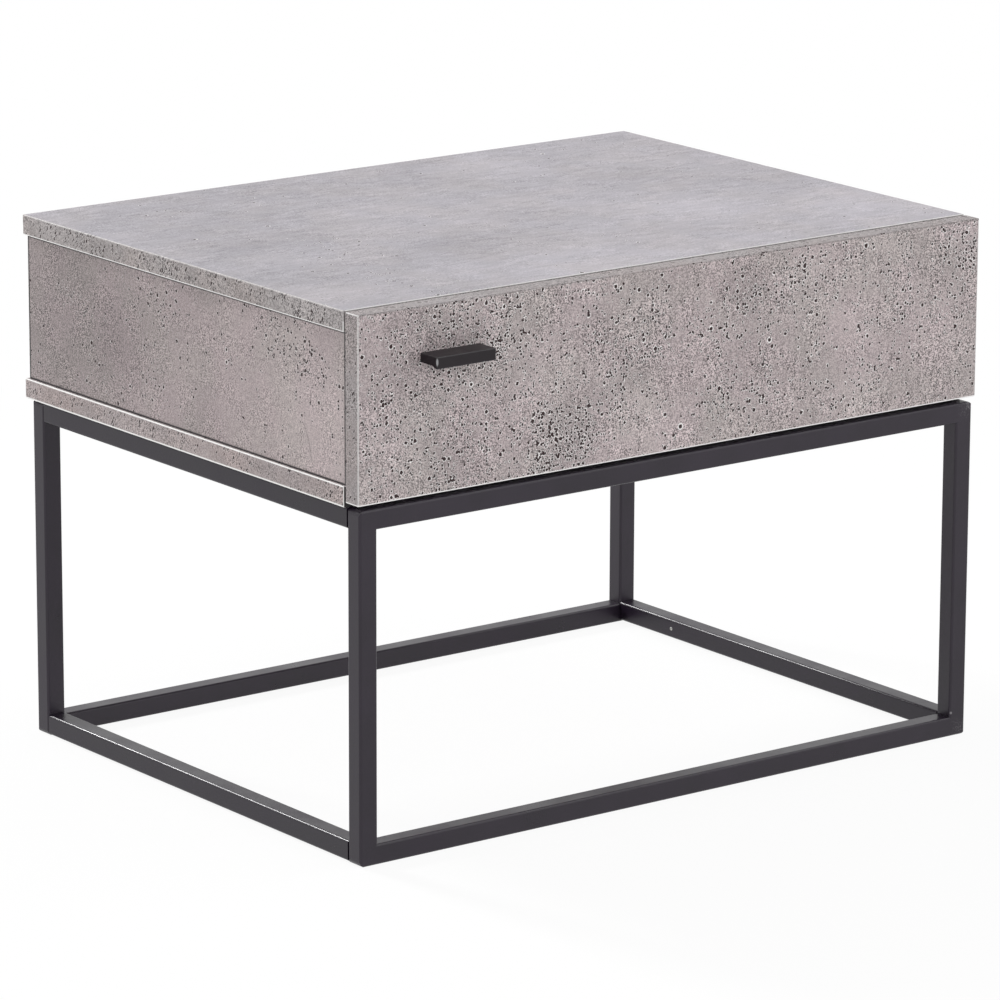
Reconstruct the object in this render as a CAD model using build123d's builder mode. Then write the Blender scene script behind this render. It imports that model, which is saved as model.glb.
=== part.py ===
from build123d import *
from collections import namedtuple
import os

os.makedirs("parts", exist_ok=True)

# Side table with one drawer: a faced-board body on a frame of square steel tube.
# Millimetres. +Z is up, the drawer opens towards -Y, and the floor is at Z = 0.
# The origin is on the floor, at the middle of the table's width and of its depth over the handle.

# ---------------------------------------------------------------- driving dimensions

# Body boards
body_width = 600.0         # over the top board, the bottom board and the drawer front
body_depth = 434.0         # top and bottom boards, front to back
board = 16.0               # thickness of the body boards and of the drawer front
side_height = 116.0        # side and back panels, between the top and bottom boards
panel_inset = 2.5          # side and back panels stand in from the boards' edges
band = 1.0                 # thickness of the edging strips
band_joint = 0.02          # hairline where one strip ends against the next
edge_round = 0.6           # scraped round on every board edge

# Steel frame
tube = 16.0                # outside of the square tube
tube_wall = 1.5
tube_round = 2.0           # outside radius of the tube's own corners
frame_height = 274.0
frame_side_inset = 2.0     # frame inside the body's left and right faces
frame_front_inset = 1.0    # frame behind the drawer front's face
frame_rear_inset = 7.0     # frame ahead of the boards' rear edges
ground_corner = 4.5        # ground round on the outer corners of the two welded rectangles
side_rail_lift = 1.5       # lower side rails above the floor
rail_end_gap = 0.4         # open joint at each end of a side rail
spigot_length = 80.0       # spigots on the legs, inside the side rails
spigot_wall = 2.0
spigot_clearance = 0.2
grub_radius = 1.5
grub_length = 5.0
grub_setback = 70.5        # grub screw from the face of the leg

# Bolts between the frame and the body
frame_bolt_spread = 140.0  # between the two bolts of one side
frame_bolt_radius = 3.0
frame_bolt_head_radius = 5.25
frame_bolt_head_height = 3.2
frame_bolt_socket = 2.0    # half the width across the flats of the hexagon socket
bolt_access_clearance = 0.5  # round the bolt's head, in the hole that it goes in by
insert_radius = 5.0
insert_length = 11.0
insert_grip = 9.0          # bolt inside the insert

# Cam fittings
CamSize = namedtuple("CamSize", "radius depth setback shank thread thread_length")
body_cam = CamSize(radius=7.5, depth=12.5, setback=24.0, shank=3.5, thread=2.5, thread_length=10.0)
box_cam = CamSize(radius=6.0, depth=9.5, setback=20.0, shank=2.5, thread=2.0, thread_length=10.0)
cam_slot_width = 1.6
cam_slot_depth = 1.8
side_cam_margin = 60.0     # cams of a side panel from its front and rear edges
rear_cam_spread = 350.0    # between the two cams of one edge of the back panel
box_cam_margin = 22.0      # cams of a drawer side from its top and bottom edges
dowel_radius = 4.0
dowel_length = 30.0
dowel_in_board = 10.0      # the part of a dowel that is in the top or bottom board
dowel_pitch = 32.0         # dowel from the cam beside it

# Drawer
front_gap = 2.0            # drawer front ahead of the body's front edges
front_bottom_gap = 4.0     # drawer front above the frame
front_top_drop = 0.5       # drawer front's top edge below the top board's surface
box_rear_gap = 17.5        # drawer box ahead of the back panel
box_height = 86.0
box_lift = 12.0            # drawer sides above the bottom board
box_board = 12.0           # thickness of the drawer's sides and back
floor_board = 3.0          # thickness of the drawer's floor
floor_lift = 8.0           # floor above the lower edge of the sides
groove_depth = 6.0
groove_clearance = 0.15
box_screw_radius = 2.2
box_screw_length = 40.0
box_screw_head_radius = 4.2
box_screw_head_height = 2.2
box_screw_margin = 16.0    # from the top of the drawer back, and from the floor's groove
pad_radius = 4.0
pad_margin = 20.0          # pads from the ends of a side panel's front edge

# Handle
handle_length = 54.5
handle_from_edge = 56.5    # handle's end from the drawer front's left edge
handle_from_top = 35.5     # handle's top below the table's top
handle_projection = 20.5
handle_foot_height = 7.2   # against the drawer front
handle_foot = 6.0          # thickness of the foot that takes the screws
handle_plate = 3.0         # over the finger recess
handle_end = 2.5           # walls that close the recess at the handle's ends
handle_lip_height = 9.0
handle_lip = 4.0           # from the handle's front to the recess
handle_lip_edge = 2.0      # flat along the lip's lower edge
handle_slope = 4.5         # run of the slope from there up to the underside
handle_corner = 1.5        # round on the two upright front corners
handle_round = 0.5
handle_screw_spread = 32.0
handle_screw_radius = 2.0
handle_screw_grip = 5.0    # screw inside the handle
handle_screw_head_radius = 4.0
handle_screw_head_height = 2.4

# Drawer runners: a channel on each side panel, an L-section on each drawer side, and four wheels
runner_space = 12.5        # between a side panel and the drawer side beside it
runner_steel = 1.2
runner_bend = 1.0          # outside round of the folded corners
runner_inset = 3.0         # runner halves behind the body's front edges and behind the drawer front
channel_reach = 9.5        # channel's lower flange from the side panel
channel_lip_reach = 8.8    # channel's upper flange from the side panel
channel_depth = 18.0       # clear height inside the channel
flange_reach = 9.5         # L-section's flange from the drawer side
wheel_radius = 8.5
wheel_width = 5.0
wheel_offset = 3.5         # wheel from the side panel
wheel_setback = 12.0       # wheel's axis from the end of its runner
wheel_gap = 0.3            # wheel from its track
wheel_bore_clearance = 0.08
wheel_play = 0.2           # along the pin, on each side of the wheel
wheel_rim = 2.0            # full-width rim and hub, on both sides of a shallow groove
wheel_groove = 0.8
pin_radius = 2.0
pin_collar_radius = 3.5
pin_head_radius = 3.2
pin_head_height = 0.5
flange_gap = 0.3           # L-section's flange above the channel
runner_screw_radius = 1.6
runner_screw_head_radius = 3.4
runner_screw_head_height = 1.2
runner_screw_grip = 10.0   # screw inside the board
runner_screw_margin = 50.0

# Clearances of the fittings in their holes
hole_clearance = 0.1
end_clearance = 0.4        # left at the bottom of a blind hole

# ---------------------------------------------------------------- places worked out from them

total_depth = handle_projection + board + front_gap + body_depth
y_back = total_depth / 2
y_body = y_back - body_depth            # front edges of the body's boards
y_front = y_body - front_gap            # rear face of the drawer front
y_face = y_front - board                # front face of the drawer front
half_width = body_width / 2

z_bay = frame_height + board            # floor of the body's inside
z_bay_top = z_bay + side_height
z_top = z_bay_top + board

side_outer = half_width - panel_inset
side_inner = side_outer - board
y_side_end = y_back - panel_inset       # rear edges of the side panels, rear face of the back panel

frame_half = half_width - frame_side_inset
y_frame_front = y_face + frame_front_inset
y_frame_rear = y_back - frame_rear_inset
rail_centre = frame_half - tube / 2

box_outer = side_inner - runner_space
box_inner = box_outer - box_board
z_box = z_bay + box_lift
z_box_top = z_box + box_height
y_back_panel = y_side_end - board       # front face of the back panel
y_box_end = y_back_panel - box_rear_gap
box_length = y_box_end - y_front
z_groove = z_box + floor_lift
z_front = frame_height + front_bottom_gap
z_front_top = z_top - front_top_drop

# The runner's heights count from the middle of the drawer side
z_runner = z_box + box_height / 2
z_track = z_runner - channel_depth / 2
z_channel_lip = z_track + channel_depth
z_flange = z_channel_lip + runner_steel + flange_gap
y_channel = y_body + runner_inset
y_channel_end = y_channel + box_length
y_section = y_front + runner_inset
z_front_wheel = z_flange - wheel_gap - wheel_radius
z_rear_wheel = z_track + wheel_gap + wheel_radius
y_front_wheel = y_channel + wheel_setback
y_rear_wheel = y_box_end - wheel_setback

x_handle = -half_width + handle_from_edge
z_handle_top = z_top - handle_from_top
z_handle_foot = z_handle_top - handle_foot_height

SIDES = (-1, 1)
UP = Vector(0, 0, 1)
BACK = Vector(0, 1, 0)
RIGHT = Vector(1, 0, 0)


# ---------------------------------------------------------------- shared shapes

def middle(limits):
    return (limits[0] + limits[1]) / 2


def span(limits):
    return limits[1] - limits[0]


def inset(limits, amount):
    return (limits[0] + amount, limits[1] - amount)


def ordered(first, second):
    return (min(first, second), max(first, second))


def slab(box, mode=Mode.ADD):
    """Put the block between the box's X, Y and Z limits into the open part."""
    x, y, z = box
    with BuildSketch(Plane.XY.offset(z[0]), mode=Mode.PRIVATE) as footprint:
        with Locations((middle(x), middle(y))):
            Rectangle(span(x), span(y))
    extrude(footprint.sketch, amount=span(z), mode=mode)


def rod(start, direction, radius, length, mode=Mode.ADD):
    """Put a round rod, which starts at a point and runs along a direction, into the open part."""
    with BuildSketch(Plane(origin=start, z_dir=direction), mode=Mode.PRIVATE) as end:
        Circle(radius)
    extrude(end.sketch, amount=length, mode=mode)


def drill(start, direction, radius, length):
    rod(start, direction, radius + hole_clearance, length, mode=Mode.SUBTRACT)


def rounded_board(box):
    """Put a board with all its edges scraped round into the open part."""
    slab(box)
    fillet(edges(), edge_round)


def with_limits(box, axis, limits):
    changed = list(box)
    changed[axis] = limits
    return changed


def core_of(box, banded_axes):
    """The board without its edging: the box taken in along each axis that ends in a strip."""
    for axis in banded_axes:
        box = with_limits(box, axis, inset(box[axis], band))
    return box


def strips_at_ends(box, axis):
    """The two edging strips at the ends of the box along one axis."""
    low, high = box[axis]
    near = with_limits(box, axis, (low, low + band))
    far = with_limits(box, axis, (high - band, high))
    return [near, far]


def strips_around(box, long_axis, short_axis):
    """Four strips round a board: two whole ones along its length, and two between them."""
    along = strips_at_ends(box, short_axis)
    shorter = with_limits(box, short_axis, inset(box[short_axis], band + band_joint))
    return along + strips_at_ends(shorter, long_axis)


def edging(boards):
    """All the strips of some boards, each cut from its board's rounded shape."""
    strips = []
    for box, regions in boards:
        for region in regions:
            with BuildPart() as strip:
                rounded_board(box)
                slab(region, mode=Mode.INTERSECT)
            strips.append(strip.part)
    return strips


def save(piece, name):
    piece.label = name
    export_step(piece, f"parts/{name}.step")


def save_group(solids, name):
    """Write several separate solids of one kind as one node."""
    save(Compound(children=solids), name)


# ---------------------------------------------------------------- cam fittings and dowels

# joint: the point where the bolt crosses from one board to the other.
# inward: from there into the board that holds the cam.  mouth: from its middle to its drilled face.
Fitting = namedtuple("Fitting", "joint inward mouth")


def cam_centre(fitting, size):
    return fitting.joint + fitting.inward * size.setback


def bore_for_cam(fitting, size, thickness):
    """Cut the cam's pocket and the bolt's hole in the board that holds the cam."""
    face = cam_centre(fitting, size) + fitting.mouth * (thickness / 2)
    drill(face, -fitting.mouth, size.radius, size.depth + hole_clearance)
    drill(fitting.joint, fitting.inward, size.shank, size.setback)


def bore_for_bolt(fitting, size):
    """Cut the threaded hole in the board that the bolt is screwed into."""
    drill(fitting.joint, -fitting.inward, size.thread, size.thread_length + end_clearance)


def cam_lock(fitting, size, thickness):
    """A round cam with a channel for the bolt and a cross slot to turn it by."""
    centre = cam_centre(fitting, size)
    face = centre + fitting.mouth * (thickness / 2)
    with BuildPart() as cam:
        rod(face, -fitting.mouth, size.radius, size.depth)
        drill(centre + fitting.inward * size.shank, -fitting.inward, size.shank, size.setback)
        with BuildSketch(Plane(origin=face, z_dir=-fitting.mouth)):
            Rectangle(size.radius, cam_slot_width)
            Rectangle(cam_slot_width, size.radius)
        extrude(amount=cam_slot_depth, mode=Mode.SUBTRACT)
    return cam.part


def cam_bolt(fitting, size):
    """The bolt: a thread in one board, a shank, and a neck and head inside the cam."""
    neck_length = size.radius / 2
    head = size.shank * 0.9
    with BuildPart() as bolt:
        rod(fitting.joint, -fitting.inward, size.thread, size.thread_length)
        rod(fitting.joint, fitting.inward, size.shank, size.setback - size.radius)
        rod(fitting.joint, fitting.inward, size.thread, size.setback)
        head_start = fitting.joint + fitting.inward * (size.setback - neck_length)
        rod(head_start, fitting.inward, head, neck_length)
    return bolt.part


def dowel_start(fitting):
    return fitting.joint - fitting.inward * dowel_in_board


def dowel(fitting):
    with BuildPart() as peg:
        rod(dowel_start(fitting), fitting.inward, dowel_radius, dowel_length)
        chamfer(edges(), dowel_radius / 8)
    return peg.part


def bore_for_dowel(fitting):
    """Cut the dowel's hole, which both of its boards share."""
    start = dowel_start(fitting) - fitting.inward * end_clearance
    drill(start, fitting.inward, dowel_radius, dowel_length + 2 * end_clearance)


def panel_fittings(x, y, mouth):
    """One fitting at the top edge and one at the bottom edge of a panel, at one place along it."""
    top = Fitting(Vector(x, y, z_bay_top), -UP, mouth)
    bottom = Fitting(Vector(x, y, z_bay), UP, mouth)
    return [top, bottom]


def side_fittings(side):
    """Cams and dowels of one side panel: the cams near its ends, the dowels inside of them."""
    x = side * (side_outer - board / 2)
    y_ends = inset((y_body, y_side_end), side_cam_margin)
    y_dowels = inset(y_ends, dowel_pitch)
    cams = [fitting for y in y_ends for fitting in panel_fittings(x, y, -RIGHT * side)]
    dowels = [fitting for y in y_dowels for fitting in panel_fittings(x, y, -RIGHT * side)]
    return cams, dowels


def back_fittings():
    y = y_side_end - board / 2
    cam_x = rear_cam_spread / 2
    dowel_x = cam_x + dowel_pitch
    cams = [fitting for side in SIDES for fitting in panel_fittings(side * cam_x, y, -BACK)]
    dowels = [fitting for side in SIDES for fitting in panel_fittings(side * dowel_x, y, -BACK)]
    return cams, dowels


def drawer_fittings(side):
    """Cams of one drawer side, whose bolts are in the drawer front."""
    x = side * (box_outer - box_board / 2)
    heights = inset((z_box, z_box_top), box_cam_margin)
    return [Fitting(Vector(x, y_front, z), BACK, -RIGHT * side) for z in heights]


def body_fittings():
    """Every cam and every dowel of the body."""
    cams, dowels = back_fittings()
    for side in SIDES:
        side_cams, side_dowels = side_fittings(side)
        cams = cams + side_cams
        dowels = dowels + side_dowels
    return cams, dowels


# ---------------------------------------------------------------- screws

def screw(seat, direction, radius, length, head_radius, head_height):
    """A screw with a domed head: the head stands on the seat, the shank runs along direction."""
    with BuildPart() as body:
        rod(seat, direction, radius, length)
        rod(seat, -direction, head_radius, head_height)
        rim = edges().filter_by(GeomType.CIRCLE).group_by(SortBy.RADIUS)[-1]
        fillet(rim.sort_by(Axis(seat, direction))[0], head_height / 2)
        top = Plane(origin=seat - direction * head_height, z_dir=direction)
        with BuildSketch(top):
            Rectangle(head_radius, head_radius / 4)
            Rectangle(head_radius / 4, head_radius)
        extrude(amount=head_height / 2, mode=Mode.SUBTRACT)
    return body.part


# ---------------------------------------------------------------- steel frame

def tube_profile(plane):
    """The square tube's section on a plane."""
    with BuildSketch(plane, mode=Mode.PRIVATE) as section:
        RectangleRounded(tube, tube, tube_round)
        hollow = tube - 2 * tube_wall
        RectangleRounded(hollow, hollow, tube_round - tube_wall, mode=Mode.SUBTRACT)
    return section.sketch


def mitre(corner, outward):
    """Cut the open part at 45 degrees through a corner of its welded rectangle."""
    cut = Plane(origin=corner, x_dir=BACK, z_dir=outward)
    split(bisect_by=cut, keep=Keep.BOTTOM)


def grind_corners(y):
    """Trim the open part to the welded rectangle's outline, with its outer corners ground round."""
    face = Plane(origin=(0, y - tube / 2, frame_height / 2), x_dir=RIGHT, z_dir=BACK)
    with BuildSketch(face, mode=Mode.PRIVATE) as outline:
        RectangleRounded(2 * frame_half, frame_height, ground_corner)
    extrude(outline.sketch, amount=tube, mode=Mode.INTERSECT)


def frame_bolt_places(side):
    """Bolts of one side, on the upper side rail's centre line."""
    y_middle = (y_frame_front + y_frame_rear) / 2
    return [(side * rail_centre, y_middle + end * frame_bolt_spread / 2) for end in SIDES]


def leg(side, y):
    """An upright of a welded rectangle, mitred at both ends."""
    with BuildPart() as upright:
        extrude(tube_profile(Plane(origin=(side * rail_centre, y, 0), z_dir=UP)), amount=frame_height)
        mitre(Vector(side * frame_half, y, frame_height), Vector(-side, 0, 1))
        mitre(Vector(side * frame_half, y, 0), Vector(-side, 0, -1))
        grind_corners(y)
    return upright.part


def cross_rail(y, z, up):
    """A rail of a welded rectangle from corner to corner; up is 1 for the upper one, -1 below."""
    with BuildPart() as rail:
        start = Plane(origin=(-frame_half, y, z), z_dir=RIGHT)
        extrude(tube_profile(start), amount=2 * frame_half)
        for side in SIDES:
            mitre(Vector(side * frame_half, y, z + up * tube / 2), Vector(side, 0, -up))
        grind_corners(y)
    return rail.part


def side_rail_z():
    """Centre heights of the lower and upper side rails."""
    return {"bottom": side_rail_lift + tube / 2, "top": frame_height - tube / 2}


def grub_screw_places(side, z):
    """Where and which way the grub screws enter one side rail: from below in front, from inside at the rear."""
    y_front_screw, y_rear_screw = inset((y_frame_front + tube, y_frame_rear - tube), grub_setback)
    from_below = (Vector(side * rail_centre, y_front_screw, z - tube / 2), UP)
    from_inside = (Vector(side * (rail_centre - tube / 2), y_rear_screw, z), RIGHT * side)
    return [from_below, from_inside]


def side_rail(side, level):
    """A rail from front to back, slipped over a spigot at each end."""
    z = side_rail_z()[level]
    ends = inset((y_frame_front + tube, y_frame_rear - tube), rail_end_gap)
    with BuildPart() as rail:
        start = Plane(origin=(side * rail_centre, ends[0], z), z_dir=BACK)
        extrude(tube_profile(start), amount=span(ends))
        for place, direction in grub_screw_places(side, z):
            drill(place, direction, grub_radius, tube_wall)
        if level == "top":
            for x, y in frame_bolt_places(side):
                drill(Vector(x, y, z - tube / 2), UP, frame_bolt_head_radius + bolt_access_clearance, tube_wall)
                drill(Vector(x, y, z + tube / 2), -UP, frame_bolt_radius, tube_wall)
    return rail.part


def spigots():
    """Short square tubes welded to the legs, one inside each end of each side rail."""
    outer = tube - 2 * (tube_wall + spigot_clearance)
    inner = outer - 2 * spigot_wall
    pieces = []
    for side in SIDES:
        for z in side_rail_z().values():
            for y, direction in ((y_frame_front + tube, BACK), (y_frame_rear - tube, -BACK)):
                with BuildPart() as spigot:
                    with BuildSketch(Plane(origin=(side * rail_centre, y, z), z_dir=direction)):
                        RectangleRounded(outer, outer, tube_round - tube_wall)
                        Rectangle(inner, inner, mode=Mode.SUBTRACT)
                    extrude(amount=spigot_length)
                    for place, direction in grub_screw_places(side, z):
                        drill(place, direction, grub_radius, grub_length)
                pieces.append(spigot.part)
    return pieces


def grub_screws():
    """Socket screws through the side rails into the spigots, flush with the rails' faces."""
    pieces = []
    for side in SIDES:
        for z in side_rail_z().values():
            for place, direction in grub_screw_places(side, z):
                with BuildPart() as grub:
                    rod(place, direction, grub_radius, grub_length)
                    with BuildSketch(Plane(origin=place, z_dir=direction)):
                        RegularPolygon(grub_radius / 2, 6)
                    extrude(amount=grub_radius, mode=Mode.SUBTRACT)
                pieces.append(grub.part)
    return pieces


def frame_bolts():
    """Bolts up into the bottom board, with their heads inside the upper side rails."""
    pieces = []
    z_seat = frame_height - tube_wall
    for side in SIDES:
        for x, y in frame_bolt_places(side):
            with BuildPart() as bolt:
                seat = Vector(x, y, z_seat)
                rod(seat, UP, frame_bolt_radius, tube_wall + insert_grip)
                rod(seat, -UP, frame_bolt_head_radius, frame_bolt_head_height)
                fillet(edges().group_by(Axis.Z)[0], frame_bolt_head_height / 3)
                with BuildSketch(Plane.XY.offset(z_seat - frame_bolt_head_height)):
                    with Locations((x, y)):
                        RegularPolygon(frame_bolt_socket, 6, major_radius=False)
                extrude(amount=frame_bolt_head_height * 0.75, mode=Mode.SUBTRACT)
            pieces.append(bolt.part)
    return pieces


def threaded_inserts():
    """Steel inserts in the underside of the bottom board."""
    pieces = []
    for side in SIDES:
        for x, y in frame_bolt_places(side):
            with BuildPart() as insert:
                rod(Vector(x, y, frame_height), UP, insert_radius, insert_length)
                drill(Vector(x, y, frame_height), UP, frame_bolt_radius, insert_length)
            pieces.append(insert.part)
    return pieces


for row, y_row in (("front", y_frame_front + tube / 2), ("rear", y_frame_rear - tube / 2)):
    save(leg(-1, y_row), f"{row}_left_leg")
    save(leg(1, y_row), f"{row}_right_leg")
    save(cross_rail(y_row, frame_height - tube / 2, 1), f"{row}_top_rail")
    save(cross_rail(y_row, tube / 2, -1), f"{row}_bottom_rail")

for side_name, side_sign in (("left", -1), ("right", 1)):
    for level_name in ("top", "bottom"):
        save(side_rail(side_sign, level_name), f"{side_name}_{level_name}_side_rail")

save_group(spigots(), "rail_spigots")
save_group(grub_screws(), "rail_grub_screws")
save_group(frame_bolts(), "frame_bolts")
save_group(threaded_inserts(), "threaded_inserts")


# ---------------------------------------------------------------- body boards

full_width = (-half_width, half_width)
full_depth = (y_body, y_back)
bay_height = (z_bay, z_bay_top)

top_box = [full_width, full_depth, (z_bay_top, z_top)]
bottom_box = [full_width, full_depth, (frame_height, z_bay)]
back_box = [(-side_inner, side_inner), (y_back_panel, y_side_end), bay_height]


def side_box(side):
    return [ordered(side * side_inner, side * side_outer), (y_body, y_side_end), bay_height]


body_cams, body_dowels = body_fittings()

# Top board: chipboard with faced surfaces, edged all round
with BuildPart() as top_panel:
    rounded_board(top_box)
    slab(core_of(top_box, [0, 1]), mode=Mode.INTERSECT)
    for fitting in body_cams:
        if fitting.inward.Z < 0:
            bore_for_bolt(fitting, body_cam)
    for fitting in body_dowels:
        bore_for_dowel(fitting)
top_panel.part.label = "top_panel"
export_step(top_panel.part, "parts/top_panel.step")

# Bottom board: the same board, bolted down on the frame's side rails
with BuildPart() as bottom_panel:
    rounded_board(bottom_box)
    slab(core_of(bottom_box, [0, 1]), mode=Mode.INTERSECT)
    for fitting in body_cams:
        if fitting.inward.Z > 0:
            bore_for_bolt(fitting, body_cam)
    for fitting in body_dowels:
        bore_for_dowel(fitting)
    for side in SIDES:
        for x, y in frame_bolt_places(side):
            drill(Vector(x, y, frame_height), UP, insert_radius, insert_length + end_clearance)
bottom_panel.part.label = "bottom_panel"
export_step(bottom_panel.part, "parts/bottom_panel.step")

# Back panel: between the side panels, held by cams in its inner face
with BuildPart() as back_panel:
    rounded_board(back_box)
    back_cams, back_dowels = back_fittings()
    for fitting in back_cams:
        bore_for_cam(fitting, body_cam, board)
    for fitting in back_dowels:
        bore_for_dowel(fitting)
back_panel.part.label = "back_panel"
export_step(back_panel.part, "parts/back_panel.step")


def channel_screw_places(side):
    """Screws of one channel, from its web into the side panel."""
    y_ends = inset((y_channel, y_channel_end), runner_screw_margin)
    x = side * (side_inner - runner_steel)
    return [Vector(x, y, z_runner) for y in (y_ends[0], middle(y_ends), y_ends[1])]


def side_panel(side):
    """A side panel, edged front and rear, with its cams in the inner face."""
    box = side_box(side)
    with BuildPart() as panel:
        rounded_board(box)
        slab(core_of(box, [1]), mode=Mode.INTERSECT)
        cams, dowels = side_fittings(side)
        for fitting in cams:
            bore_for_cam(fitting, body_cam, board)
        for fitting in dowels:
            bore_for_dowel(fitting)
        for place in channel_screw_places(side):
            drill(place, RIGHT * side, runner_screw_radius, runner_steel + runner_screw_grip + end_clearance)
    return panel.part


save(side_panel(-1), "side_panel_left")
save(side_panel(1), "side_panel_right")

save_group(edging([(top_box, strips_around(top_box, 0, 1))]), "top_panel_edging")
save_group(edging([(bottom_box, strips_around(bottom_box, 0, 1))]), "bottom_panel_edging")
side_strips = [(side_box(side), strips_at_ends(side_box(side), 1)) for side in SIDES]
save_group(edging(side_strips), "side_panel_edging")

save_group([cam_lock(fitting, body_cam, board) for fitting in body_cams], "body_cam_locks")
save_group([cam_bolt(fitting, body_cam) for fitting in body_cams], "body_cam_bolts")
save_group([dowel(fitting) for fitting in body_dowels], "body_dowels")


def closing_pads():
    """Soft discs on the side panels' front edges, which the drawer front closes against."""
    pieces = []
    for side in SIDES:
        for z in inset(bay_height, pad_margin):
            with BuildPart() as pad:
                rod(Vector(side * (side_outer - board / 2), y_body, z), -BACK, pad_radius, front_gap)
            pieces.append(pad.part)
    return pieces


save_group(closing_pads(), "closing_pads")


# ---------------------------------------------------------------- drawer box

def section_screw_places(side):
    """Screws of one L-section, from its web into the drawer side."""
    y_ends = inset((y_section, y_box_end), runner_screw_margin)
    x = side * (box_outer + runner_steel)
    return [Vector(x, y, z_runner) for y in (y_ends[0], middle(y_ends), y_ends[1])]


def box_screw_places(side):
    """Screws through one drawer side into the end of the drawer back."""
    heights = (z_groove + box_screw_margin, z_box_top - box_screw_margin)
    y = y_box_end - box_board / 2
    return [Vector(side * box_outer, y, z) for z in heights]


groove_height = (z_groove - groove_clearance, z_groove + floor_board + groove_clearance)
groove_reach = (-box_inner - groove_depth, box_inner + groove_depth)
groove_length = (y_front - groove_depth, y_box_end - box_board + groove_depth)
floor_groove = [groove_reach, groove_length, groove_height]

front_box = [full_width, (y_face, y_front), (z_front, z_front_top)]


def handle_screw_places():
    """Screws of the handle, from the rear face of the drawer front."""
    x_middle = x_handle + handle_length / 2
    z = z_handle_foot + handle_foot_height / 2
    return [Vector(x_middle + end * handle_screw_spread / 2, y_front, z) for end in SIDES]


# Drawer front: covers the body's front edges, edged all round
with BuildPart() as drawer_front:
    rounded_board(front_box)
    slab(core_of(front_box, [0, 2]), mode=Mode.INTERSECT)
    slab(floor_groove, mode=Mode.SUBTRACT)
    for side in SIDES:
        for fitting in drawer_fittings(side):
            bore_for_bolt(fitting, box_cam)
    for place in handle_screw_places():
        drill(place, -BACK, handle_screw_radius, board)
drawer_front.part.label = "drawer_front"
export_step(drawer_front.part, "parts/drawer_front.step")

save_group(edging([(front_box, strips_around(front_box, 0, 2))]), "drawer_front_edging")


def drawer_side(side):
    """A drawer side, grooved for the floor, with its cams in the inner face."""
    box = [ordered(side * box_inner, side * box_outer), (y_front, y_box_end), (z_box, z_box_top)]
    with BuildPart() as panel:
        rounded_board(box)
        slab(floor_groove, mode=Mode.SUBTRACT)
        for fitting in drawer_fittings(side):
            bore_for_cam(fitting, box_cam, box_board)
        for place in section_screw_places(side):
            drill(place, -RIGHT * side, runner_screw_radius, runner_steel + runner_screw_grip + end_clearance)
        for place in box_screw_places(side):
            drill(place, -RIGHT * side, box_screw_radius, box_board)
            drill(place, -RIGHT * side, box_screw_head_radius, box_screw_head_height)
    return panel.part


save(drawer_side(-1), "drawer_side_left")
save(drawer_side(1), "drawer_side_right")

# Drawer back: between the drawer sides
with BuildPart() as drawer_back:
    rounded_board([(-box_inner, box_inner), (y_box_end - box_board, y_box_end), (z_box, z_box_top)])
    slab(floor_groove, mode=Mode.SUBTRACT)
    for side in SIDES:
        for place in box_screw_places(side):
            drill(place, -RIGHT * side, box_screw_radius, box_screw_length + end_clearance)
drawer_back.part.label = "drawer_back"
export_step(drawer_back.part, "parts/drawer_back.step")

# Drawer floor: thin board in the groove of all four walls
with BuildPart() as drawer_floor:
    floor_x = inset(groove_reach, end_clearance)
    floor_y = inset(groove_length, end_clearance)
    slab([floor_x, floor_y, inset(groove_height, groove_clearance)])
drawer_floor.part.label = "drawer_floor"
export_step(drawer_floor.part, "parts/drawer_floor.step")

drawer_cams = [fitting for side in SIDES for fitting in drawer_fittings(side)]
save_group([cam_lock(fitting, box_cam, box_board) for fitting in drawer_cams], "drawer_cam_locks")
save_group([cam_bolt(fitting, box_cam) for fitting in drawer_cams], "drawer_cam_bolts")


def drawer_back_screws():
    pieces = []
    for side in SIDES:
        for place in box_screw_places(side):
            seat = place - RIGHT * (side * box_screw_head_height)
            shank = box_screw_length - box_screw_head_height
            pieces.append(screw(seat, -RIGHT * side, box_screw_radius, shank,
                                box_screw_head_radius, box_screw_head_height))
    return pieces


save_group(drawer_back_screws(), "drawer_back_screws")


# ---------------------------------------------------------------- handle

# Handle: one bar, with a lip that slopes down in front and a recess for the fingertips underneath
with BuildPart() as handle:
    y_lip = y_face - handle_projection
    z_lip = z_handle_top - handle_lip_height
    with BuildSketch(Plane(origin=(x_handle, 0, 0), x_dir=BACK, z_dir=RIGHT)):
        with BuildLine():
            Polyline(
                (y_face, z_handle_top),
                (y_lip, z_handle_top),
                (y_lip, z_lip),
                (y_lip + handle_lip_edge, z_lip),
                (y_lip + handle_lip_edge + handle_slope, z_handle_foot),
                (y_face, z_handle_foot),
                close=True,
            )
        make_face()
    extrude(amount=handle_length)
    fillet(handle.edges().filter_by(Axis.Z).sort_by(Axis.Y)[:2], handle_corner)
    kept_sharp = handle.faces().sort_by(Axis.Y)[-1].edges() + handle.edges().filter_by(Axis.Z)
    fillet([edge for edge in handle.edges() if edge not in kept_sharp], handle_round)
    recess = [
        inset((x_handle, x_handle + handle_length), handle_end),
        (y_lip + handle_lip, y_face - handle_foot),
        (z_lip, z_handle_top - handle_plate),
    ]
    slab(recess, mode=Mode.SUBTRACT)
    for place in handle_screw_places():
        drill(place - BACK * board, -BACK, handle_screw_radius, handle_screw_grip + end_clearance)
handle.part.label = "handle"
export_step(handle.part, "parts/handle.step")

handle_screws = [
    screw(place, -BACK, handle_screw_radius, board + handle_screw_grip,
          handle_screw_head_radius, handle_screw_head_height)
    for place in handle_screw_places()
]
save_group(handle_screws, "handle_screws")


# ---------------------------------------------------------------- drawer runners

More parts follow.
